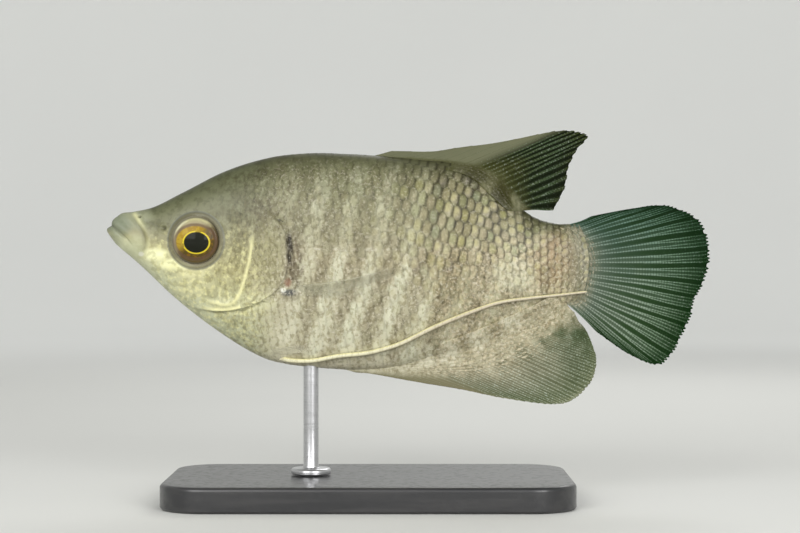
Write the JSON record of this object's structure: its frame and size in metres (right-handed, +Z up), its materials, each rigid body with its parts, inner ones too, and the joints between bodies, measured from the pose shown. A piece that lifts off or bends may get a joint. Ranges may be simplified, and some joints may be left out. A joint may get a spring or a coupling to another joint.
{
  "type": "giant gourami model",
  "caption": "Life-size display model of a young giant gourami, swimming, held by a rod on a flat base.",
  "frame": {"origin": "centre of the bounding box at the underside of the stand's base", "axes": "+X from the snout to the tail fin, +Y from the fish's left side to its right, +Z up"},
  "size_m": [0.1202, 0.044, 0.0736],
  "materials": {
    "body_skin": "satin grey-beige scaled skin with faint darker bars and a silver sheen",
    "head_skin": "satin pale green-grey skin, cream and gold on the cheek",
    "fin": "thin grey-green membrane with paler rays",
    "thread": "cream thread",
    "eye": "wet amber iris round a black pupil",
    "stand_base": "satin black",
    "stand_rod": "satin steel"
  },
  "bodies": {
    "root": {"head": "head_skin", "lower_jaw": "head_skin", "trunk": "body_skin", "tail_stalk": "body_skin", "gill_cover_left": "head_skin", "gill_cover_right": "head_skin", "eye_left": "eye", "eye_right": "eye", "dorsal_spines": "fin", "dorsal_rays": "fin", "anal_spines": "fin", "anal_rays": "fin", "tail_fin": "fin", "pectoral_fin_left": "fin", "pelvic_fin_left": "fin", "pelvic_thread_left_front": "thread", "pelvic_thread_left_rear": "thread", "pectoral_fin_right": "fin", "pelvic_fin_right": "fin", "pelvic_thread_right_front": "thread", "pelvic_thread_right_rear": "thread", "stand_base": "stand_base", "stand_rod": "stand_rod"}
  },
  "joints": []
}
